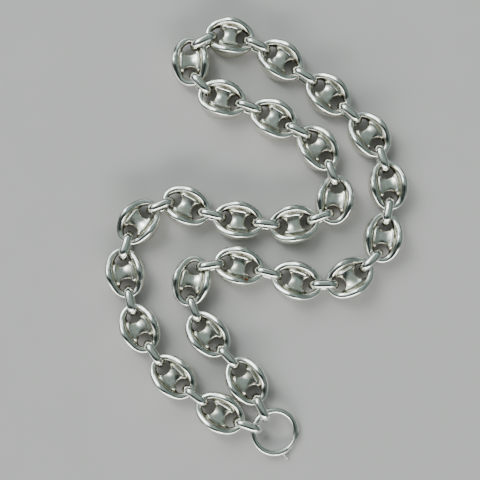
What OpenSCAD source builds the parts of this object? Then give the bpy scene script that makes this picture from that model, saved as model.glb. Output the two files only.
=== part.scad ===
// Silver mariner link chain with a spring ring clasp, lying in a folded loop.
// Puffed links lie flat, small wire connectors stand on edge between them.

/* [Puffed link] */
// Length of a puffed link
link_l = 16.1; // [15.4:0.1:17]
// Width of a puffed link
link_w = 12.2; // [11.8:0.1:12.4]
// Thickness of a puffed link at the middle of its rim
link_t = 7.2; // [6.8:0.1:7.6]
// Distance between the centres of the two holes
hole_spacing = 8; // [7.6:0.1:8.4]
// Diameter of the round holes
hole_d = 4.3; // [4.2:0.05:4.5]
// Width of the rim beside the cross bar
rim_w = 2.8; // [2.4:0.1:3.1]
// Thickness of the rim at the ends of a link
rim_end_t = 2.8; // [2.4:0.1:3.2]
// Thickness at the groove between the rim and a lip
groove_t = 4; // [3.6:0.1:4.4]
// Thickness at the crest of the lips
lip_t = 5.2; // [4.8:0.1:5.6]
// Distance between the crests of the two lips
lip_spacing = 4.8; // [4.4:0.1:5.2]
// Thickness at the middle of the cross bar
bar_t = 3.6; // [3:0.1:4.2]

/* [Connector] */
// Outer length of a connector
connector_l = 9.7; // [9.4:0.1:10.4]
// Outer height of a connector, which stands on edge
connector_h = 7.5; // [7.3:0.1:8]
// Width of the flattened wire
wire_w = 2.6; // [2.2:0.1:2.7]
// Thickness of the flattened wire
wire_t = 1.5; // [1.3:0.05:1.6]

/* [Clasp] */
// Outer diameter of the clasp ring
ring_d = 15; // [14:0.5:17]
// Diameter of the tube that the ring is made of
tube_d = 2; // [1.8:0.1:2.2]
// Thickness of the tube's wall
tube_wall = 0.25; // [0.2:0.05:0.35]
// Angle of the mouth that the bolt closes
mouth_angle = 35; // [28:1:40]
// Direction of the middle of the mouth
mouth_turn = -35; // [-45:1:-25]
// How far the closed bolt reaches into the far side of the mouth, as an angle
bolt_catch = 3; // [2:1:6]
// Angle that the bolt slides back to open
bolt_travel = 40; // [36:1:46]
// Diameter of the thumb tab
tab_d = 0.8; // [0.6:0.1:1]
// How far the thumb tab stands out of the tube
tab_l = 1.8; // [1.2:0.1:2.4]
// Angle of the tab behind the mouth
tab_back = 15; // [12:1:20]
// Angle of the bolt's tail behind the tab
bolt_tail = 15; // [8:1:20]
// Lean of the tab towards the mouth
tab_lean = 14; // [0:1:20]
// Direction in which the first connector crosses the ring
cross_first = 122; // [118:1:126]
// Direction in which the last connector crosses the ring
cross_last = 168; // [164:1:172]
// How far below the middle of the end connectors' bends the ring lies, as an angle of the bend
cradle = 20; // [10:1:35]

/* [Fit] */
// Least gap between two loose pieces of the chain
loose_gap = 0.12; // [0.1:0.01:0.15]
// Gap between the ring's tube and the bends of the end connectors
ring_gap = 0.3; // [0.25:0.05:0.4]
// Radial gap round the bolt in its tube
bolt_gap = 0.07; // [0.03:0.01:0.1]
// Gap on each side of the tab in its slot
slot_gap = 0.1; // [0.05:0.01:0.2]

/* [Hidden] */
// Route of the chain from the clasp and back: the heading of each puffed link, the heading of
// the connector after it, and how slack that connector hangs, as a share of its play.
LINK = 0;
NEXT = 1;
SLACK = 2;
route = [
    [123, 132, 0],
    [131, 109, 0.25],
    [77, 10, 0.25],
    [346, 346, 0.1],
    [342, 1, 0.6],
    [31, 45, 0.6],
    [81, 79, 0.8],
    [97, 108, 0.55],
    [126, 137, 0.1],
    [137, 146, 0],
    [142, 154, 0.3],
    [169, 209, 0.2],
    [272, 312, 0.6],
    [343, 340, 0.45],
    [330, 333, 0.7],
    [306, 290, 0.3],
    [261, 201, 0.75],
    [188, 173, 0.5],
    [171, 166, 0.75],
    [153, 203, 0.45],
    [232, 254, 0.6],
    [283, 282, 0.35],
    [296, 304, 0.15],
    [317, 322, 0.15],
    [330, 0, 0]
];
link_count = len(route);

function two_digits(n) = n < 10 ? str("0", n) : str(n);
LINK_NODES = [for (i = [1:link_count]) str("puffed_link_", two_digits(i))];
CONNECTOR_NODES = [for (i = [1:link_count + 1]) str("connector_", two_digits(i))];

silver = "silver";
dark_silver = "darkgray";

// Heights of a puffed link's rim above its middle plane, where its crest lies as a share of its
// width from the outside, and how steeply it rises from its thin ends to its thick sides
crest_z = link_t / 2;
crest_end_z = rim_end_t / 2;
crest_share = 0.48;
crest_power = 5;
// Place of the two shoulders between the crest and the edges, as an angle
shoulder_angle = 50;
shoulder_share = 1 - cos(shoulder_angle);
// Stations on each side of the long axis at which the rim runs round a hole
ends = 3;
// The hole has flat sides, so its corners stand outside its diameter.
hole_corner = hole_d / 2 / cos(45 / ends);
rim_end_w = (link_l - hole_spacing) / 2 - hole_corner;

// A connector goes round the rim's end in a bend, which closes in above and below its middle.
bend_in = connector_h / 2 - wire_t;
level = abs(connector_h - link_t) / 2;
function closing(z) = bend_in - sqrt(pow(bend_in, 2) - pow(z + level, 2));
crest_over = closing(crest_end_z) - (1 - crest_share) * rim_end_w;
shoulder_over = closing(crest_end_z * sin(shoulder_angle))
    - shoulder_share * (1 - crest_share) * rim_end_w;

// Distance from a hole's centre to the wire's centre when the wire bears on the rim
wire_reach = sqrt(pow(hole_d / 2 - loose_gap - wire_t / 2, 2) - pow((wire_w - wire_t) / 2, 2))
    - max(0, crest_over, shoulder_over);
function along(angle) = [cos(angle), sin(angle)];

// Distance between the holes of two neighbours when the chain is pulled straight
taut_step = connector_l - wire_t + 2 * wire_reach;
// How much closer the two can lie before their ends meet
play = taut_step - (link_l - hole_spacing) - loose_gap;

function step(i) = hole_spacing * along(route[i][LINK])
    + (taut_step - route[i][SLACK] * play) * along(route[i][NEXT]);
raw_holes = [for (i = 0, p = [0, 0]; i < link_count; p = p + step(i), i = i + 1) p];
function raw_hole_out(i) = raw_holes[i] + hole_spacing * along(route[i][LINK]);
function raw_centre(i) = raw_holes[i] + hole_spacing / 2 * along(route[i][LINK]);

// The clasp ring leans, with its high side in the bends of the two end connectors.
ring_r = (ring_d - tube_d) / 2;
tube_r = tube_d / 2;
tube_play = bend_in - tube_r - ring_gap;
tube_rise = connector_h / 2 - tube_play * sin(cradle) - tube_r;
lean_turn = (cross_first + cross_last) / 2;
ring_lean = asin(tube_rise / ring_r / (1 + cos((cross_last - cross_first) / 2)));
ring_z = tube_r + ring_r * sin(ring_lean);
function leaning(angle, r) = let (a = angle - lean_turn)
    r * cos(a) * cos(ring_lean) * along(lean_turn) + r * sin(a) * along(lean_turn + 90);

// Distance from the middle of an end connector to the tube's centre, and from a hole's centre to it
ring_seat = connector_l / 2 - connector_h / 2 + tube_play * cos(cradle);
clasp_step = wire_reach + connector_l / 2 - wire_t / 2 + ring_seat;
from_first = raw_holes[0] - leaning(cross_first, ring_r);
from_last = raw_hole_out(link_count - 1) - leaning(cross_last, ring_r);
ring_chord = from_first - from_last;
ring_offset = sqrt(pow(clasp_step, 2) - pow(norm(ring_chord) / 2, 2));
raw_ring = (from_first + from_last) / 2
    + ring_offset * [ring_chord[1], -ring_chord[0]] / norm(ring_chord);

// The origin is at the middle of the whole box, on the surface that the chain lies on.
stations = 24;
station_step = 360 / stations;
function outline_at(i, t) = let (c = raw_centre(i), a = route[i][LINK])
    c + link_l / 2 * cos(t) * along(a) + link_w / 2 * sin(t) * along(a + 90);
outline_points = [for (i = [0:link_count - 1], k = [0:stations - 1]) outline_at(i, k * station_step)];

mouth_low = mouth_turn - mouth_angle / 2;
mouth_high = mouth_turn + mouth_angle / 2;
tab_turn = mouth_low - tab_back;
tab_reach = tube_r + tab_l - tab_d / 2;
tab_end = raw_ring + leaning(tab_turn, ring_r) + leaning(tab_turn + tab_lean, tab_reach);
box_low = [
    min([for (p = outline_points) p[0]]),
    min(tab_end[1] - tab_d / 2, min([for (p = outline_points) p[1]]))
];
box_high = [max([for (p = outline_points) p[0]]), max([for (p = outline_points) p[1]])];
shift = -(box_low + box_high) / 2;

// A station is at an end of the link, where the rim's inner side is the hole's edge, or beside the bar.
function half_turn_station(i) = (i + ends) % (stations / 2) - ends;
function is_end(i) = abs(half_turn_station(i)) <= ends;
function side(i) = cos(i * station_step) >= 0 ? 1 : -1;
function hole_edge(s, turn) = [s * (hole_spacing / 2 + hole_corner * cos(turn)), hole_corner * sin(turn)];
function outer_edge(i) = [link_l / 2 * cos(i * station_step), link_w / 2 * sin(i * station_step)];
groove_a = hole_spacing / 2 + hole_corner;
groove_b = link_w / 2 - rim_w;
function inner_edge(i) = is_end(i)
    ? hole_edge(side(i), side(i) * half_turn_station(i) * 90 / ends)
    : [groove_a * cos(i * station_step), groove_b * sin(i * station_step)];
function inner_z(i) = is_end(i) ? 0 : groove_t / 2;
function crest_height(i) = crest_end_z
    + (crest_z - crest_end_z) * pow(abs(sin(i * station_step)), crest_power);

// Upper half of the rim's section: outer edge, shoulder, crest, inner shoulder, inner edge
rim_rows = 4;
function rim_points(i) = let (
    out = outer_edge(i),
    in = inner_edge(i),
    crest = out + crest_share * (in - out),
    top = crest_height(i),
    low = inner_z(i)
) [
    [out[0], out[1], 0],
    concat(out + shoulder_share * (crest - out), [top * sin(shoulder_angle)]),
    [crest[0], crest[1], top],
    concat(in + shoulder_share * (crest - in), [low + (top - low) * sin(shoulder_angle)]),
    [in[0], in[1], low]
];

// Upper half of the cross bar, in rows from one lip to the other: how far across as a share of the
// lips' distance, and how high as a share of the step from the bar up to a lip
ACROSS = 0;
RISE = 1;
bar_rows = [
    [1, 1],
    [0.48, 0.12],
    [0, 0],
    [-0.48, 0.12],
    [-1, 1]
];
rows = len(bar_rows) + 1;
column_angles = [0, 40, 65, 90, 115, 140, 180];
columns = len(column_angles) - 1;
function bar_point(r, c) = let (
    row = bar_rows[r - 1],
    edge = hole_edge(1, 90 + r * 90 / ends),
    a = column_angles[c],
    y = edge[1] + (row[ACROSS] * lip_spacing / 2 - edge[1]) * sin(a),
    z = (bar_t + row[RISE] * (lip_t - bar_t)) / 2
) [edge[0] * cos(a), y, z * sin(a)];

rim_top = [for (i = [0:stations - 1]) each rim_points(i)];
rim_bottom = [for (i = [0:stations - 1], j = [1:rim_rows]) let (p = rim_points(i)[j]) [p[0], p[1], -p[2]]];
bar_top = [for (r = [1:rows - 1], c = [0:columns]) bar_point(r, c)];
bar_bottom = [for (r = [1:rows - 1], c = [1:columns - 1]) let (p = bar_point(r, c)) [p[0], p[1], -p[2]]];
link_points = concat(rim_top, rim_bottom, bar_top, bar_bottom);
rim_bottom_start = len(rim_top);
bar_top_start = rim_bottom_start + len(rim_bottom);
bar_bottom_start = bar_top_start + len(bar_top);

function rim_index(i, j, top) = let (k = (i + stations) % stations)
    top || j == 0 || (j == rim_rows && is_end(k)) ? k * (rim_rows + 1) + j
    : rim_bottom_start + k * rim_rows + j - 1;
function bar_index(r, c, top) =
    r == 0 ? rim_index(ends + c, rim_rows, top)
    : r == rows ? rim_index(stations - ends - c, rim_rows, top)
    : top || c == 0 || c == columns ? bar_top_start + (r - 1) * (columns + 1) + c
    : bar_bottom_start + (r - 1) * (columns - 1) + c - 1;
function facing(a, b, c, d, top) = top ? [[a, b, c], [a, c, d]] : [[c, b, a], [d, c, a]];
rim_faces = [for (top = [true, false], i = [0:stations - 1], j = [0:rim_rows - 1])
    each facing(rim_index(i, j, top), rim_index(i, j + 1, top),
        rim_index(i + 1, j + 1, top), rim_index(i + 1, j, top), top)];
bar_faces = [for (top = [true, false], r = [0:rows - 1], c = [0:columns - 1])
    each facing(bar_index(r, c, top), bar_index(r + 1, c, top),
        bar_index(r + 1, c + 1, top), bar_index(r, c + 1, top), top)];

module puffed_link(i) {
    place = raw_centre(i) + shift;
    color(silver)
    translate([place[0], place[1], crest_z])
    rotate(route[i][LINK])
    polyhedron(link_points, concat(rim_faces, bar_faces));
}

// Flattened wire, with its width along Y
module wire_section() {
    flat = wire_w - wire_t;
    square([wire_t, flat], center = true);
    for (s = [-1, 1]) translate([0, s * flat / 2]) circle(d = wire_t, $fn = 32);
}

// A connector stands on edge along X, with its middle at the origin.
module connector_loop() {
    bend_r = (connector_h - wire_t) / 2;
    leg = connector_l - connector_h;
    for (s = [-1, 1]) {
        translate([s * leg / 2, 0, 0]) rotate([90, 0, 0]) rotate(s > 0 ? -90 : 90)
            rotate_extrude(angle = 180, $fn = 48) translate([bend_r, 0]) wire_section();
        translate([-leg / 2, 0, s * bend_r]) rotate([90, 0, 90])
            linear_extrude(leg) rotate(90) wire_section();
    }
}

module connector(i) {
    from = i == 0 ? raw_ring + leaning(cross_first, ring_r) : raw_hole_out(i - 1);
    to = i == link_count ? raw_ring + leaning(cross_last, ring_r) : raw_holes[i];
    turn = atan2(to[1] - from[1], to[0] - from[0]);
    // An end connector is placed by the ring's tube, the others lie evenly in both holes.
    middle = i == 0 ? from + ring_seat * along(turn)
        : i == link_count ? to - ring_seat * along(turn)
        : (from + to) / 2;
    place = middle + shift;
    color(silver)
    translate([place[0], place[1], connector_h / 2])
    rotate(turn)
    connector_loop();
}

// Puts a shape that is made round the Z axis in the plane of the leaning clasp ring
module at_ring() {
    place = raw_ring + shift;
    translate([place[0], place[1], ring_z])
    rotate(lean_turn)
    rotate([0, -ring_lean, 0])
    rotate(-lean_turn)
    children();
}

module bent_rod(d, from, to) {
    rotate(from)
    rotate_extrude(angle = to - from, $fn = 96)
    translate([ring_r, 0])
    circle(d = d, $fn = 32);
}

bore_d = tube_d - 2 * tube_wall;
rod_d = bore_d - 2 * bolt_gap;
slot_w = tab_d + 2 * slot_gap;
// Angles by which the slot passes the tab's ends, and the bore passes the tube's
slot_play = 1;
bore_over = 1;
// Half of the slot's width, and how far the tab has leant over where it leaves the tube, as angles
tab_half = asin(slot_w / 2 / ring_r);
tab_shift = asin(tube_r * sin(tab_lean) / ring_r);

module clasp_ring() {
    slot_low = tab_turn - bolt_travel - tab_half - slot_play;
    slot_high = tab_turn + tab_shift + tab_half + slot_play;
    color(silver) at_ring() difference() {
        bent_rod(tube_d, mouth_high, mouth_low + 360);
        bent_rod(bore_d, mouth_high - bore_over, mouth_low + 360 + bore_over);
        rotate(slot_low)
            rotate_extrude(angle = slot_high - slot_low, $fn = 96)
            translate([ring_r, -slot_w / 2])
            square([tube_d, slot_w]);
    }
}

module clasp_bolt() {
    color(dark_silver) at_ring() {
        bent_rod(rod_d, tab_turn - bolt_tail, mouth_high + bolt_catch);
        rotate(tab_turn) translate([ring_r, 0, 0]) rotate([0, 90, tab_lean]) {
            cylinder(d = tab_d, h = tab_reach, $fn = 24);
            translate([0, 0, tab_reach]) sphere(d = tab_d, $fn = 24);
        }
    }
}

for (i = [0:link_count - 1])
    puffed_link(i);
for (i = [0:link_count])
    connector(i);
clasp_ring();
clasp_bolt();
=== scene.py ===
"""A silver mariner link chain with a spring ring clasp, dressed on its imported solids."""

import math

import bmesh
import bpy
from bpy.props import FloatProperty, FloatVectorProperty, IntProperty, PointerProperty
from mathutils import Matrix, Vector


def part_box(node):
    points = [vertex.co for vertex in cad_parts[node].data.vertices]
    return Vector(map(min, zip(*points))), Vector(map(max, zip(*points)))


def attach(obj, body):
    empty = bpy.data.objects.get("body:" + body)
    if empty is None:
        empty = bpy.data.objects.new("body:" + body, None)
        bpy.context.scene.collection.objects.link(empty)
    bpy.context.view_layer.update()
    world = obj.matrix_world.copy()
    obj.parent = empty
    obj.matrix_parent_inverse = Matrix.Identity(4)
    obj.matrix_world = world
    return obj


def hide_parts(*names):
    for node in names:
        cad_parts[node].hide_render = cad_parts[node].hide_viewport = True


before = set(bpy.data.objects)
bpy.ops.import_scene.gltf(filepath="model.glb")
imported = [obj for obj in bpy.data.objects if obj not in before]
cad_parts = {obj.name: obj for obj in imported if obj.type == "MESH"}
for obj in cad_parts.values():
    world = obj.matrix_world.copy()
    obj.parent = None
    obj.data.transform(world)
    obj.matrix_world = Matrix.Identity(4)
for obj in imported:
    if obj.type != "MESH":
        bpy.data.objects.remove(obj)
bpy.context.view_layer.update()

bl_info = {
    "name": "Mariner Link Chain",
    "version": (1, 0, 0),
    "blender": (4, 5, 0),
    "location": "View3D > Sidebar > Chain",
    "description": "Dresses a mariner link chain: puffed links, wire connectors and spring ring clasp",
    "category": "Add Mesh",
}

MM = 0.001
CHAIN = "chain"
LINK_NODES = sorted(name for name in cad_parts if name.startswith("puffed_link"))
CONNECTOR_NODES = sorted(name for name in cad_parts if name.startswith("connector"))
# Corners nearer to each other than this are one corner
MERGE_DISTANCE = 0.01 * MM
# Digits kept of a place in metres where corners are told apart by it
DIGITS = 6


# Places read from the solids

def lay_of(node):
    """Heading, middle and size of a long piece as it lies, read from its solid."""
    points = {(round(v.co.x, DIGITS), round(v.co.y, DIGITS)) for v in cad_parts[node].data.vertices}
    mid_x = sum(p[0] for p in points) / len(points)
    mid_y = sum(p[1] for p in points) / len(points)
    spread_x = sum((p[0] - mid_x) ** 2 for p in points)
    spread_y = sum((p[1] - mid_y) ** 2 for p in points)
    mixed = sum((p[0] - mid_x) * (p[1] - mid_y) for p in points)
    # The piece points the way its corners spread the most
    heading = math.atan2(2 * mixed, spread_x - spread_y) / 2
    along = [p[0] * math.cos(heading) + p[1] * math.sin(heading) for p in points]
    across = [p[1] * math.cos(heading) - p[0] * math.sin(heading) for p in points]
    mid_along, mid_across = (max(along) + min(along)) / 2, (max(across) + min(across)) / 2
    low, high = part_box(node)
    middle = Vector((
        mid_along * math.cos(heading) - mid_across * math.sin(heading),
        mid_along * math.sin(heading) + mid_across * math.cos(heading),
        (low.z + high.z) / 2,
    ))
    size = Vector((max(along) - min(along), max(across) - min(across), high.z - low.z))
    return heading, middle, size


# A link is this much shorter and narrower than its solid, so that no turned link passes the solids' box
RIM_MARGIN = 0.06 * MM
LINK_SIZE = lay_of(LINK_NODES[0])[2] - Vector((RIM_MARGIN, RIM_MARGIN, 0))
CONNECTOR_SIZE = lay_of(CONNECTOR_NODES[1])[2]


# What a user would change

class PuffedLinkSizes(bpy.types.PropertyGroup):
    """Sizes of a puffed link"""

    length: FloatProperty(
        name="Length", description="Length of a puffed link", default=LINK_SIZE.x, unit="LENGTH")
    width: FloatProperty(
        name="Width", description="Width of a puffed link", default=LINK_SIZE.y, unit="LENGTH")
    thickness: FloatProperty(
        name="Thickness", description="Thickness at the middle of the rim", default=LINK_SIZE.z,
        unit="LENGTH")
    hole_spacing: FloatProperty(
        name="Hole spacing", description="Distance between the two holes", default=8.05 * MM, unit="LENGTH")
    hole_diameter: FloatProperty(
        name="Hole diameter", description="Diameter of each hole", default=4.3 * MM, unit="LENGTH")
    end_thickness: FloatProperty(
        name="End thickness", description="Thickness of the rim at the link's ends", default=2.8 * MM,
        unit="LENGTH")
    groove_width: FloatProperty(
        name="Groove width", description="Distance between the two grooves inside the rim",
        default=6.6 * MM, unit="LENGTH")
    groove_thickness: FloatProperty(
        name="Groove thickness", description="Thickness at the bottom of the grooves", default=4.4 * MM,
        unit="LENGTH")
    lip_thickness: FloatProperty(
        name="Lip thickness", description="Thickness at the crest of the lips", default=4.85 * MM,
        unit="LENGTH")
    lip_spacing: FloatProperty(
        name="Lip spacing", description="Distance between the crests of the lips", default=5.6 * MM,
        unit="LENGTH")
    bar_thickness: FloatProperty(
        name="Bar thickness", description="Thickness at the middle of the cross bar", default=3.6 * MM,
        unit="LENGTH")
    hole_edge_crease: FloatProperty(
        name="Hole edge", description="How sharp the edges of the holes are", default=0.8, min=0, max=1)
    smoothness: IntProperty(
        name="Smoothness", description="Subdivision levels of a link", default=2, min=1, max=3)


class ConnectorSizes(bpy.types.PropertyGroup):
    """Sizes of a connector"""

    length: FloatProperty(
        name="Length", description="Outer length of a connector", default=CONNECTOR_SIZE.x, unit="LENGTH")
    height: FloatProperty(
        name="Height", description="Outer height of a connector on edge", default=CONNECTOR_SIZE.z,
        unit="LENGTH")
    wire_width: FloatProperty(
        name="Wire width", description="Width of the flattened wire", default=CONNECTOR_SIZE.y,
        unit="LENGTH")
    wire_thickness: FloatProperty(
        name="Wire thickness", description="Thickness of the flattened wire", default=1.5 * MM,
        unit="LENGTH")


class SilverFinish(bpy.types.PropertyGroup):
    """Colours of the silver as it ages"""

    silver: FloatVectorProperty(
        name="Silver", description="Colour of the polished metal", subtype="COLOR", size=3, min=0, max=1,
        default=(0.85, 0.86, 0.82))
    satin: FloatVectorProperty(
        name="Satin", description="Colour of the dulled metal on the saddles", subtype="COLOR", size=3,
        min=0, max=1, default=(0.70, 0.67, 0.57))
    # The tarnish colour also paints the shade in the links' recesses
    tarnish: FloatVectorProperty(
        name="Tarnish", description="Colour of the tarnish in the recesses", subtype="COLOR", size=3,
        min=0, max=1, default=(0.21, 0.18, 0.11))


class StudioSettings(bpy.types.PropertyGroup):
    """Colour of the floor and brightness of the lights"""

    floor: FloatVectorProperty(
        name="Floor", description="Colour of the floor", subtype="COLOR", size=3, min=0, max=1,
        default=(0.62, 0.59, 0.595))
    key_strength: FloatProperty(
        name="Key light", description="Brightness of the soft light at the back", default=7.0)
    south_strength: FloatProperty(
        name="Front light", description="Brightness of the wide soft light at the front", default=6.5)
    north_strength: FloatProperty(
        name="North light", description="Brightness of the soft window over the top", default=0.30)
    fill_strength: FloatProperty(
        name="Fill light", description="Brightness of the dim window to the east", default=0.17)
    west_strength: FloatProperty(
        name="West light", description="Brightness of the soft window to the west", default=0.06)


# Modelling helpers

def start_clean():
    """Leaves edit mode with nothing selected."""
    if bpy.context.object and bpy.context.object.mode != "OBJECT":
        bpy.ops.object.mode_set(mode="OBJECT")
    bpy.ops.object.select_all(action="DESELECT")


def pick(piece):
    """Selects one object and makes it the active one."""
    start_clean()
    piece.select_set(True)
    bpy.context.view_layer.objects.active = piece


def corners(piece):
    """The vertices of the mesh that is being edited."""
    cage = bmesh.from_edit_mesh(piece.data)
    cage.verts.ensure_lookup_table()
    cage.verts.index_update()
    return cage.verts


def move_corner(piece, corner, place):
    """Moves one vertex to its place with the move tool."""
    bpy.ops.mesh.select_all(action="DESELECT")
    vertex = corners(piece)[corner]
    vertex.select_set(True)
    bpy.ops.transform.translate(value=Vector(place) - vertex.co)


def select_corners(piece, chosen):
    """Selects vertices by their number, and the edges and faces between them."""
    bpy.ops.mesh.select_all(action="DESELECT")
    cage = bmesh.from_edit_mesh(piece.data)
    cage.verts.ensure_lookup_table()
    for number in chosen:
        cage.verts[number].select_set(True)
    cage.select_flush(True)
    bmesh.update_edit_mesh(piece.data)


def apply_modifier(piece, kind, **settings):
    """Adds a modifier, sets it and applies it."""
    pick(piece)
    bpy.ops.object.modifier_add(type=kind)
    modifier = piece.modifiers[-1]
    for name, value in settings.items():
        setattr(modifier, name, value)
    bpy.ops.object.modifier_apply(modifier=modifier.name)


def finish_model(model, size):
    """Brings a model to its exact size and shades it smooth."""
    pick(model)
    bpy.ops.transform.resize(value=[wanted / now for wanted, now in zip(size, model.dimensions)])
    bpy.ops.object.transform_apply(location=True, rotation=True, scale=True)
    bpy.ops.object.shade_smooth()


def coat(piece, material):
    """Gives an object one material in place of those it had."""
    piece.data.materials.clear()
    piece.data.materials.append(material)


def dress(piece, name, node, material):
    """Names a finished piece of the chain, ties it to its solid and gives both the same material."""
    piece.name = piece.data.name = name
    coat(piece, material)
    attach(piece, CHAIN)
    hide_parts(node)
    coat(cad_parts[node], material)


def lay_copy(model, heading, middle):
    """Copies a model that is centred on the origin to its place, and puts the place in the mesh."""
    pick(model)
    bpy.ops.object.duplicate(linked=False)
    copy = bpy.context.object
    copy.rotation_euler = (0, 0, heading)
    copy.location = middle
    bpy.ops.object.transform_apply(location=True, rotation=True, scale=True)
    return copy


# Finishes

# Noise patterns: how fine each is, its layers of detail and how rough they are
CLOUDS = {"in_Scale": 520.0, "in_Detail": 5.0, "in_Roughness": 0.6}
SPECKS = {"in_Scale": 2600.0, "in_Detail": 3.0, "in_Roughness": 0.7}
DENTS = {"in_Scale": 260.0, "in_Detail": 1.0}
SCRATCHES = {"in_Scale": 1.0, "in_Detail": 4.0}
MOTTLE = {"in_Scale": 60.0, "in_Detail": 4.0}
# The scratches' noise is turned, in radians, and drawn out along one direction
SCRATCH_TURN = (0, 0, 0.6)
SCRATCH_STRETCH = (900.0, 9000.0, 3000.0)
# Bumps: strength and height
SCRATCH_BUMP = {"in_Strength": 0.08, "in_Distance": 0.1 * MM}
DENT_BUMP = {"in_Strength": 0.15, "in_Distance": 0.3 * MM}
# Clouds and specks are added up, cut off at these two, and shift the metal's age by up to this either way
NOISE_LOW, NOISE_HIGH = 0.7, 1.3
AGE_SHIFT = 0.28
# The metal's age with its painted shade, from 0 to 1: polished up to the first place, satin between the next
# two, then tarnished; the tarnished end also paints the shade in the links' recesses
POLISHED_TO, SATIN_FROM, SATIN_TO, TARNISHED_FROM = 0.18, 0.42, 0.58, 0.80
# The oldest tarnish, where the links' painted shade is deepest, keeps this share of the tarnish's brightness
OLDEST_TARNISH_AND_SHADE = 0.25
# Between these two ages the roughness rises from the piece's own polish to that of satin
GLOSS_TO, DULL_FROM = 0.05, 0.55
SATIN_ROUGHNESS = 0.32
# A stained spot fades out between one radius and this many, drawn in raggedly by the specks
SPOT_REACH = 1.6
# How much rougher it is than the metal round it
SPOT_ROUGHNESS = 0.2
# The floor's mottle: where the noise is dimmest and palest, and the brightness of the dim patches
MOTTLE_LOW, MOTTLE_HIGH = 0.3, 0.7
MOTTLE_SHADE = 0.97
FLOOR_ROUGHNESS = 0.75


def add_node(tree, kind, links=(), **values):
    """Adds a shader node: in_ and a number or name sets a socket, other words set the node itself."""
    node = tree.nodes.new(kind)
    for name, value in values.items():
        if name.startswith("in_"):
            socket = name[len("in_"):].replace("_", " ")
            node.inputs[int(socket) if socket.isdigit() else socket].default_value = value
        else:
            setattr(node, name, value)
    for socket, source in links:
        tree.links.new(source, node.inputs[socket])
    return node


def noise(tree, place, pattern):
    """Noise of the given pattern at a place, from 0 to 1."""
    return add_node(tree, "ShaderNodeTexNoise", [("Vector", place)], **pattern).outputs["Fac"]


def math_node(tree, operation, links, **values):
    """The result of one step of arithmetic."""
    return add_node(tree, "ShaderNodeMath", links, operation=operation, **values).outputs[0]


def remap(tree, value, start, end, low, high, **values):
    """A value between start and end, brought between low and high."""
    return add_node(tree, "ShaderNodeMapRange", [("Value", value)],
                    in_1=start, in_2=end, in_3=low, in_4=high, **values).outputs[0]


def ramp(tree, factor, stops):
    """A colour ramp through the given stops."""
    node = add_node(tree, "ShaderNodeValToRGB", [("Fac", factor)])
    elements = node.color_ramp.elements
    while len(elements) < len(stops):
        elements.new(0.5)
    for element, (place, colour) in zip(elements, stops):
        element.position = place
        element.color = (*colour, 1)
    return node.outputs["Color"]


def new_material(name):
    """A new material with its tree, its shader and the place on the object."""
    material = bpy.data.materials.new(name)
    material.use_nodes = True
    tree = material.node_tree
    place = add_node(tree, "ShaderNodeTexCoord").outputs["Object"]
    return material, tree, tree.nodes["Principled BSDF"], place


def silver_finish(name, finish, base_patina=0.0, polish=0.13, spots=()):
    """Worn silver: polished, satin or tarnished as the piece's patina and painted shade say, with stained
    spots.
    """
    material, tree, shader, place = new_material(name)
    # The links' tarnish and painted shade, read from their mesh
    patina_and_shade = add_node(tree, "ShaderNodeAttribute", attribute_name="patina_and_shade").outputs["Fac"]
    speck = noise(tree, place, SPECKS)
    mixed = math_node(tree, "ADD", [(0, noise(tree, place, CLOUDS)), (1, speck)])
    shifted = remap(tree, mixed, NOISE_LOW, NOISE_HIGH, base_patina - AGE_SHIFT, base_patina + AGE_SHIFT)
    age_and_shade = math_node(tree, "ADD", [(0, patina_and_shade), (1, shifted)], use_clamp=True)
    silver, satin, tarnish = tuple(finish.silver), tuple(finish.satin), tuple(finish.tarnish)
    tone = ramp(tree, age_and_shade, [
        (0.0, silver), (POLISHED_TO, silver), (SATIN_FROM, satin), (SATIN_TO, satin),
        (TARNISHED_FROM, tarnish), (1.0, tuple(c * OLDEST_TARNISH_AND_SHADE for c in tarnish))])
    rough = remap(tree, age_and_shade, GLOSS_TO, DULL_FROM, polish, SATIN_ROUGHNESS)
    for spot, radius, stain in spots:
        away = add_node(tree, "ShaderNodeVectorMath", [(0, place)], operation="DISTANCE",
                        in_1=Vector(spot) * MM).outputs["Value"]
        ragged = math_node(tree, "MULTIPLY_ADD", [(0, speck), (2, away)], in_1=radius * MM)
        share = remap(tree, ragged, radius * SPOT_REACH * MM, radius * MM, 0.0, 1.0)
        tone = add_node(tree, "ShaderNodeMix", [(0, share), (6, tone)], data_type="RGBA",
                        in_7=(*stain, 1)).outputs[2]
        rough = math_node(tree, "MULTIPLY_ADD", [(0, share), (2, rough)], in_1=SPOT_ROUGHNESS)
    tree.links.new(tone, shader.inputs["Base Color"])
    tree.links.new(rough, shader.inputs["Roughness"])
    shader.inputs["Metallic"].default_value = 1.0
    drawn = add_node(tree, "ShaderNodeMapping", [("Vector", place)],
                     in_Rotation=SCRATCH_TURN, in_Scale=SCRATCH_STRETCH).outputs[0]
    fine = add_node(tree, "ShaderNodeBump", [("Height", noise(tree, drawn, SCRATCHES))],
                    **SCRATCH_BUMP).outputs[0]
    soft = add_node(tree, "ShaderNodeBump", [("Height", noise(tree, place, DENTS)), ("Normal", fine)],
                    **DENT_BUMP).outputs[0]
    tree.links.new(soft, shader.inputs["Normal"])
    return material


def floor_finish(settings):
    """Plain pale paper with a faint mottle."""
    material, tree, shader, place = new_material("pale_floor")
    pale = tuple(settings.floor)
    dim = tuple(c * MOTTLE_SHADE for c in pale)
    tone = ramp(tree, noise(tree, place, MOTTLE), [(MOTTLE_LOW, dim), (MOTTLE_HIGH, pale)])
    tree.links.new(tone, shader.inputs["Base Color"])
    shader.inputs["Roughness"].default_value = FLOOR_ROUGHNESS
    return material


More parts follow.
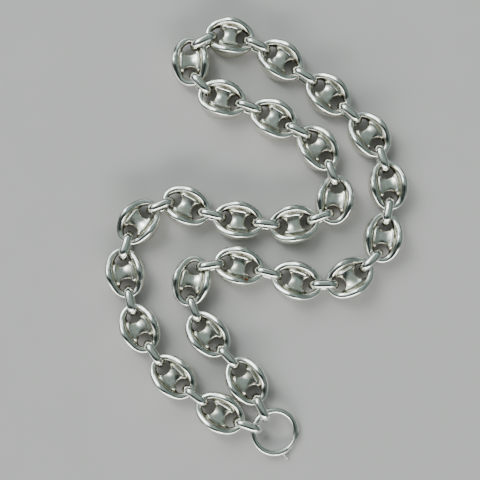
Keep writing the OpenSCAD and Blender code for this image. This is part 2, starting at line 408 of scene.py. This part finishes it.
# Stained spots, each with its place and radius in millimetres and its colour: rust twice, green, and a nick
LINK_SPOTS = [
    ((-3.3, -14.3, 6.1), 0.8, (0.42, 0.13, 0.02)),
    ((-4.7, -14.1, 6.0), 0.6, (0.26, 0.09, 0.02)),
    ((13.05, -18.6, 5.9), 0.7, (0.10, 0.17, 0.07)),
    ((-45.6, -12.0, 4.6), 0.35, (0.05, 0.05, 0.04)),
]
# Darker, rougher patches on the clasp's tube, each with its place, radius in millimetres and colour
RING_SPOTS = [
    ((2.66, -67.78, 1.2), 0.4, (0.30, 0.26, 0.18)),
    ((12.05, -61.2, 1.1), 1.35, (0.24, 0.28, 0.27)),
    ((9.4, -66.0, 1.0), 1.1, (0.40, 0.41, 0.37)),
]


# Puffed links

# Across the rim from its outer edge to its inner edge: how far in and how high, as shares
RIM_AT_SIDE = [
    (0.0, 0.0), (0.015, 0.52), (0.11, 0.84), (0.29, 0.97),
    (0.48, 1.0), (0.70, 0.96), (0.895, 0.80), (1.0, 0.0)]
RIM_AT_END = [
    (0.0, 0.0), (0.01, 0.45), (0.13, 0.80), (0.36, 0.98),
    (0.60, 1.0), (0.82, 0.90), (0.97, 0.58), (1.0, 0.0)]
# Patina and painted shade of the same corners: painted shade with some tarnish on the outer flank's foot and
# on the inner slope into the groove
RIM_PATINA_AND_SHADE = (0.50, 0.40, 0.15, 0.0, 0.0, 0.05, 0.50, 0.80)
# Tarnish and painted shade added at the stations that run round the hole, on the slope down into it
HOLE_PATINA_AND_SHADE = (0.0, 0.0, 0.0, 0.0, 0.05, 0.30, 0.35, 0.30)
# How late the crest rises on its way from the link's end to its side
CREST_POWER = 4.8
# Where the bar begins, the first corner of the rim's inner edge rises this share of the way to the groove
FIRST_RISE = 0.8
# Round a quarter of the rim, from the link's end to its side, in degrees
STATIONS = [0, 15, 30, 45, 60, 75, 90]
# The number of stations, from the link's end, that run round the hole only
END_STATIONS = 3
# From the groove to the middle of the bar: turn round the hole in degrees, how far out from the middle line
# as a share of the lip's place, how high as a share of the step from bar to lip, and patina with painted
# shade, darkest on the dish's slopes beside the lips
BAR_ROWS = [
    (104, 1.0, 1.0, 0.12), (115, 0.88, 0.72, 0.24), (131, 0.66, 0.40, 0.36), (153, 0.36, 0.115, 0.25),
    (180, 0.0, 0.0, 0.21)]
# From the hole's edge to the middle of the bar: share of the way out to the edge, and of the height
BAR_COLUMNS = [(1.0, 0.0), (0.97, 0.80), (0.60, 0.93), (0.0, 1.0)]
# More tarnish and painted shade at the hole's edge
BAR_PATINA_AND_SHADE = (0.50, 0.34, 0.0, 0.0)
# The lips sink to this share of their height where they end at the holes
LIP_END = 0.74
# Each new row of the bar is drawn out this far before its corners are placed
NEW_ROW = 0.2 * MM
# Rounds that bring the smoothed surface to its corners
FIT_ROUNDS = 8


def rim_corner(sizes, station, row):
    """Place of a corner of the rim's quarter, seen from the link's middle."""
    turn = math.radians(STATIONS[station])
    outer = Vector((sizes.length / 2 * math.cos(turn), sizes.width / 2 * math.sin(turn), 0))
    rise = math.sin(turn) ** CREST_POWER
    crest = (sizes.end_thickness + (sizes.thickness - sizes.end_thickness) * rise) / 2
    reach = (sizes.hole_spacing + sizes.hole_diameter) / 2
    inner = Vector((reach * math.cos(turn), sizes.groove_width / 2 * math.sin(turn), 0))
    # The rim's inner edge stands on the middle plane at the hole, and on the groove beside the bar
    foot = 0.0
    if station > END_STATIONS and row == len(RIM_AT_SIDE) - 1:
        foot = sizes.groove_thickness / 2 * (1 if station > END_STATIONS + 1 else FIRST_RISE)
    sideways = math.sin(turn) ** 2
    share_in, share_up = (
        at_end + (at_side - at_end) * sideways
        for at_end, at_side in zip(RIM_AT_END[row], RIM_AT_SIDE[row]))
    place = outer.lerp(inner, share_in)
    place.z = foot + crest * share_up
    return place


def bar_corner(sizes, row, column):
    """Place of a corner of the cross bar's quarter."""
    degrees, share_out, share_up, _ = BAR_ROWS[row]
    turn = math.radians(degrees)
    along, height = BAR_COLUMNS[column]
    if row == 0 and column == 1:
        # The end of the lip, beside the hole's wall
        height *= LIP_END
    radius = sizes.hole_diameter / 2
    edge = Vector((sizes.hole_spacing / 2 + radius * math.cos(turn), radius * math.sin(turn), 0))
    middle = Vector((
        0, sizes.lip_spacing / 2 * share_out,
        (sizes.bar_thickness + (sizes.lip_thickness - sizes.bar_thickness) * share_up) / 2))
    bulge = math.sqrt(1 - along ** 2)
    return Vector((edge.x * along, edge.y + (middle.y - edge.y) * bulge, middle.z * height))


def fit_cage(piece, levels):
    """Moves the corners of a cage out until its smoothed surface runs through where they were."""
    places = [vertex.co.copy() for vertex in piece.data.vertices]
    modifier = piece.modifiers.new("smooth", "SUBSURF")
    modifier.levels = levels
    for _ in range(FIT_ROUNDS):
        smooth = piece.evaluated_get(bpy.context.evaluated_depsgraph_get()).to_mesh()
        shifts = [place - smooth.vertices[index].co for index, place in enumerate(places)]
        for vertex, shift in zip(piece.data.vertices, shifts):
            vertex.co += shift
        piece.data.update()
    piece.modifiers.remove(modifier)


def model_link(sizes):
    """A puffed link round the origin: a quarter is shaped, mirrored and smoothed."""
    start_clean()
    rows, stations = len(RIM_AT_SIDE), len(STATIONS)
    bpy.ops.mesh.primitive_grid_add(x_subdivisions=stations - 1, y_subdivisions=rows - 1, size=sizes.width)
    link = bpy.context.object
    bpy.ops.object.mode_set(mode="EDIT")
    in_order = sorted((round(v.co.x, DIGITS), round(v.co.y, DIGITS), v.index) for v in corners(link))
    number = {(order // rows, order % rows): index for order, (_, _, index) in enumerate(in_order)}
    for (station, row), index in number.items():
        move_corner(link, index, rim_corner(sizes, station, row))
    # Tarnish and painted shade of each corner: painted shade on the flank's foot, in the groove, round the
    # holes and on the dish's slopes
    patina_and_shade = {
        index: RIM_PATINA_AND_SHADE[row] + HOLE_PATINA_AND_SHADE[row] * (station <= END_STATIONS)
        for (station, row), index in number.items()}
    edge = [number[station, rows - 1] for station in range(END_STATIONS, stations)]
    # The corners beside the hole's wall, along the rim and along the bar
    hole_edges = [[number[station, rows - 2] for station in range(END_STATIONS)], []]
    for row, (_, _, _, row_patina_and_shade) in enumerate(BAR_ROWS):
        select_corners(link, edge)
        before = len(corners(link))
        bpy.ops.mesh.extrude_edges_move(TRANSFORM_OT_translate={"value": (0, -NEW_ROW, 0)})
        fresh = sorted((v for v in corners(link) if v.index >= before), key=lambda v: -v.co.x)
        edge = [v.index for v in fresh]
        for column, index in enumerate(edge):
            move_corner(link, index, bar_corner(sizes, row, column))
            patina_and_shade[index] = row_patina_and_shade + BAR_PATINA_AND_SHADE[column]
        if row > 0:
            hole_edges[1].append(edge[1])
    for line in hole_edges:
        select_corners(link, line)
        bpy.ops.transform.edge_crease(value=sizes.hole_edge_crease)
    bpy.ops.object.mode_set(mode="OBJECT")
    # The corners' tarnish and painted shade go into the mesh
    layer = link.data.attributes.new("patina_and_shade", "FLOAT", "POINT")
    for index, value in patina_and_shade.items():
        layer.data[index].value = value
    apply_modifier(link, "MIRROR", use_axis=(True, True, True), merge_threshold=MERGE_DISTANCE)
    pick(link)
    bpy.ops.object.mode_set(mode="EDIT")
    bpy.ops.mesh.select_all(action="SELECT")
    bpy.ops.mesh.remove_doubles(threshold=MERGE_DISTANCE)
    bpy.ops.mesh.normals_make_consistent(inside=False)
    bpy.ops.object.mode_set(mode="OBJECT")
    fit_cage(link, sizes.smoothness)
    apply_modifier(link, "SUBSURF", levels=sizes.smoothness, render_levels=sizes.smoothness)
    finish_model(link, (sizes.length, sizes.width, sizes.thickness))
    return link


class CHAIN_OT_puffed_links(bpy.types.Operator):
    """Models one puffed mariner link and lays a copy on each of the link solids"""

    bl_idname = "chain.puffed_links"
    bl_label = "Add Puffed Links"

    def execute(self, context):
        scene = context.scene
        model = model_link(scene.puffed_link)
        silver = silver_finish("link_silver", scene.silver_finish, spots=LINK_SPOTS)
        for node in LINK_NODES:
            heading, middle, _ = lay_of(node)
            piece = lay_copy(model, heading, middle)
            dress(piece, node.replace("puffed", "silver"), node, silver)
        bpy.data.objects.remove(model)
        return {"FINISHED"}


# Connectors

# Sections round a connector, and corners round each section of its wire
WIRE_SECTIONS = 28
SECTION_CORNERS = 14


def model_connector(sizes):
    """A connector on edge round the origin: a ring of wire, flattened and pulled long."""
    start_clean()
    bend = (sizes.height - sizes.wire_thickness) / 2
    bpy.ops.mesh.primitive_torus_add(
        major_radius=bend, minor_radius=sizes.wire_thickness / 2, major_segments=WIRE_SECTIONS,
        minor_segments=SECTION_CORNERS, rotation=(math.pi / 2, math.pi / WIRE_SECTIONS, 0))
    connector = bpy.context.object
    bpy.ops.object.transform_apply(location=True, rotation=True, scale=True)
    bpy.ops.object.mode_set(mode="EDIT")
    bpy.ops.mesh.select_all(action="SELECT")
    bpy.ops.transform.resize(value=(1, sizes.wire_width / sizes.wire_thickness, 1))
    crown = (sizes.wire_width ** 2 / 4 + sizes.wire_thickness ** 2 / 4) / sizes.wire_thickness
    rings = {}
    for v in corners(connector):
        radius = math.hypot(v.co.x, v.co.z)
        if radius > bend + MERGE_DISTANCE:
            rings.setdefault((round(v.co.y, DIGITS), round(radius, DIGITS)), []).append(v.index)
    for (aside, radius), ring in rings.items():
        # The wire's outer face is an arc over the wire's whole width
        select_corners(connector, ring)
        domed = bend + math.sqrt(crown ** 2 - aside ** 2) - crown + sizes.wire_thickness / 2
        bpy.ops.transform.resize(value=(domed / radius, 1, domed / radius))
    pull = (sizes.length - sizes.height) / 2
    for side in (-1, 1):
        select_corners(connector, [v.index for v in corners(connector) if v.co.x * side > 0])
        bpy.ops.transform.translate(value=(side * pull, 0, 0))
    bpy.ops.mesh.select_all(action="SELECT")
    bpy.ops.mesh.normals_make_consistent(inside=False)
    bpy.ops.object.mode_set(mode="OBJECT")
    apply_modifier(connector, "SUBSURF", levels=1, render_levels=1)
    finish_model(connector, (sizes.length, sizes.wire_width, sizes.height))
    return connector


class CHAIN_OT_connectors(bpy.types.Operator):
    """Models one wire connector and stands a copy on each of the connector solids"""

    bl_idname = "chain.connectors"
    bl_label = "Add Connectors"

    def execute(self, context):
        scene = context.scene
        model = model_connector(scene.connector)
        silver = silver_finish("wire_silver", scene.silver_finish, base_patina=0.08)
        for node in CONNECTOR_NODES:
            heading, middle, _ = lay_of(node)
            piece = lay_copy(model, heading, middle)
            dress(piece, node.replace("connector", "wire_link"), node, silver)
        bpy.data.objects.remove(model)
        return {"FINISHED"}


# Clasp

# Each solid of the clasp with its roughness where it is polished, its patina and its stained spots
CLASP_FINISHES = (
    ("clasp_ring", 0.15, 0.02, RING_SPOTS),
    ("clasp_bolt", 0.28, -0.10, ()),
)


class CHAIN_OT_clasp(bpy.types.Operator):
    """Finishes the spring ring clasp and its sliding bolt"""

    bl_idname = "chain.clasp"
    bl_label = "Finish Clasp"

    def execute(self, context):
        finish = context.scene.silver_finish
        for node, polish, patina_and_shade, spots in CLASP_FINISHES:
            coat(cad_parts[node], silver_finish(node + "_silver", finish, patina_and_shade, polish, spots))
        return {"FINISHED"}


# Stage

CAMERA_TARGET = Vector((-5.233, -1.972, 3.6)) * MM
CAMERA_DISTANCE = 350 * MM
CAMERA_TILT = math.radians(7.2)
# The sensor's width and the lens are in millimetres, and all other lengths in metres
CAMERA_SENSOR = 36.0
CAMERA_LENS = 85.0
CAMERA_NEAR, CAMERA_FAR = 0.01, 50.0
FLOOR_SIZE = 8.0
FLOOR_CUTS = 3
# Lamps: name, angles south and east of the zenith, and half the angle that each covers from north to south
# and from west to east, all in degrees, then the setting and the share of it that gives the brightness, and
# the colour
LAMP_DISTANCE = 1.5
LAMPS = (
    ("key_light", -29, -29, 13, 6, "key_strength", 1.0, (0.95, 1.0, 0.98)),
    ("south_light", 62, 4, 5, 28, "south_strength", 0.9, (0.98, 1.0, 0.95)),
)
SKY_BASE = (0.032, 0.042, 0.039, 1)
# Soft windows in the sky: where each starts, is full, ebbs and ends, in degrees south of the zenith and then
# east of it, then the setting and the share of it that gives the brightness, and the colour
SKY_WINDOWS = (
    ((-72, -52, -20, 4), (-54, -42, -22, -6), "key_strength", 0.33, (0.92, 1.0, 0.98)),
    ((-45, -25, -2, 14), (-62, -55, -48, -40), "key_strength", 0.18, (0.92, 1.0, 0.98)),
    ((-68, -58, -54, -44), (-48, -28, -2, 24), "key_strength", 0.22, (0.90, 1.0, 0.97)),
    ((50, 60, 66, 76), (-55, -30, 20, 42), "south_strength", 0.5, (0.96, 1.0, 0.94)),
    ((55, 72, 90, 96), (-80, -58, 35, 60), "south_strength", 0.25, (0.96, 1.0, 0.94)),
    ((-75, -55, 8, 18), (-70, -50, 20, 45), "north_strength", 1.0, (0.82, 1.0, 0.95)),
    ((-75, -50, 40, 60), (15, 35, 80, 95), "fill_strength", 1.0, (0.80, 1.0, 0.94)),
    ((-30, -10, 30, 42), (-75, -60, -35, -15), "west_strength", 1.0, (1.0, 1.0, 0.97)),
)
# A dark gap between the windows takes this much of the base away
SKY_GAP = ((16, 22, 38, 46), (-45, -30, 30, 50))
GAP_DEPTH = 0.014


def sky_direction(south, east):
    """Direction to a place in the sky, from its angles south and east of the zenith."""
    return Vector((math.sin(east), -math.sin(south) * math.cos(east), math.cos(south) * math.cos(east)))


def window_share(tree, angles, spans):
    """How far a place in the sky lies inside a soft window, from 0 to 1."""
    share = None
    for angle, (start, full, ebb, end) in zip(angles, spans):
        for edge, inside in ((start, full), (end, ebb)):
            part = remap(tree, angle, math.radians(edge), math.radians(inside), 0.0, 1.0,
                         interpolation_type="SMOOTHSTEP")
            share = part if share is None else math_node(tree, "MULTIPLY", [(0, share), (1, part)])
    return share


def soft_sky(settings):
    """A dim sky with soft pale windows all round, and a dark gap between two of them."""
    world = bpy.data.worlds.new("studio")
    world.use_nodes = True
    tree = world.node_tree
    toward = add_node(tree, "ShaderNodeTexCoord").outputs["Generated"]
    way = add_node(tree, "ShaderNodeSeparateXYZ", [(0, toward)]).outputs
    down = math_node(tree, "MULTIPLY", [(0, way["Y"])], in_1=-1.0)
    south = math_node(tree, "ARCTAN2", [(0, down), (1, way["Z"])])
    east = math_node(tree, "ARCSINE", [(0, way["X"])])
    light = add_node(tree, "ShaderNodeRGB").outputs[0]
    light.default_value = SKY_BASE
    panes = [
        (spans_south, spans_east, tuple(getattr(settings, setting) * share * c for c in colour))
        for spans_south, spans_east, setting, share, colour in SKY_WINDOWS]
    panes.append((*SKY_GAP, (-GAP_DEPTH, -GAP_DEPTH, -GAP_DEPTH)))
    for *spans, brightness in panes:
        tint = add_node(tree, "ShaderNodeVectorMath", [("Scale", window_share(tree, (south, east), spans))],
                        operation="SCALE", in_0=brightness).outputs[0]
        light = add_node(tree, "ShaderNodeVectorMath", [(0, light), (1, tint)], operation="ADD").outputs[0]
    tree.links.new(light, tree.nodes["Background"].inputs["Color"])
    return world


def hang_lamp(name, south, east, half_south, half_east, strength, colour):
    """A soft lamp that faces the chain from a place in the sky."""
    aim = sky_direction(math.radians(south), math.radians(east))
    bpy.ops.object.light_add(type="AREA", location=aim * LAMP_DISTANCE)
    lamp = bpy.context.object
    lamp.name = name
    lamp.data.shape = "RECTANGLE"
    lamp.data.size = 2 * math.tan(math.radians(half_east)) * LAMP_DISTANCE
    lamp.data.size_y = 2 * math.tan(math.radians(half_south)) * LAMP_DISTANCE
    lamp.data.energy = strength * math.pi * lamp.data.size * lamp.data.size_y
    lamp.data.color = colour
    lamp.rotation_euler = aim.to_track_quat("Z", "Y").to_euler()


class CHAIN_OT_stage(bpy.types.Operator):
    """Adds the pale floor, the soft lights and the camera"""

    bl_idname = "chain.stage"
    bl_label = "Set Stage"

    def execute(self, context):
        settings = context.scene.studio
        start_clean()
        bpy.ops.mesh.primitive_plane_add(size=FLOOR_SIZE, location=(0, 0, 0))
        floor = context.object
        bpy.ops.object.mode_set(mode="EDIT")
        bpy.ops.mesh.select_all(action="SELECT")
        bpy.ops.mesh.subdivide(number_cuts=FLOOR_CUTS)
        bpy.ops.object.mode_set(mode="OBJECT")
        floor.name = "floor"
        floor.data.materials.append(floor_finish(settings))
        for *place, setting, share, colour in LAMPS:
            hang_lamp(*place, getattr(settings, setting) * share, colour)
        context.scene.world = soft_sky(settings)
        back = Vector((0, -math.sin(CAMERA_TILT), math.cos(CAMERA_TILT))) * CAMERA_DISTANCE
        bpy.ops.object.camera_add(location=CAMERA_TARGET + back, rotation=(CAMERA_TILT, 0, 0))
        camera = context.object
        camera.data.sensor_width = CAMERA_SENSOR
        camera.data.lens = CAMERA_LENS
        camera.data.clip_start, camera.data.clip_end = CAMERA_NEAR, CAMERA_FAR
        context.scene.camera = camera
        return {"FINISHED"}


class CHAIN_PT_panel(bpy.types.Panel):
    """Lists the steps of the chain in the 3D view's sidebar"""

    bl_idname = "CHAIN_PT_panel"
    bl_label = "Mariner Link Chain"
    bl_space_type = "VIEW_3D"
    bl_region_type = "UI"
    bl_category = "Chain"

    def draw(self, context):
        for name in GROUPS:
            settings = getattr(context.scene, name)
            box = self.layout.box()
            for setting in settings.__annotations__:
                box.prop(settings, setting)
        for step in STEPS:
            self.layout.operator(step.bl_idname)


STEPS = (CHAIN_OT_puffed_links, CHAIN_OT_connectors, CHAIN_OT_clasp, CHAIN_OT_stage)
GROUPS = {
    "puffed_link": PuffedLinkSizes,
    "connector": ConnectorSizes,
    "silver_finish": SilverFinish,
    "studio": StudioSettings,
}


def register():
    for kind in (*GROUPS.values(), *STEPS, CHAIN_PT_panel):
        bpy.utils.register_class(kind)
    for name, kind in GROUPS.items():
        setattr(bpy.types.Scene, name, PointerProperty(type=kind))


def unregister():
    for name in GROUPS:
        delattr(bpy.types.Scene, name)
    for kind in (CHAIN_PT_panel, *reversed(STEPS), *reversed(GROUPS.values())):
        bpy.utils.unregister_class(kind)


def main():
    register()
    bpy.ops.chain.puffed_links()
    bpy.ops.chain.connectors()
    bpy.ops.chain.clasp()
    bpy.ops.chain.stage()


if __name__ == "__main__":
    main()
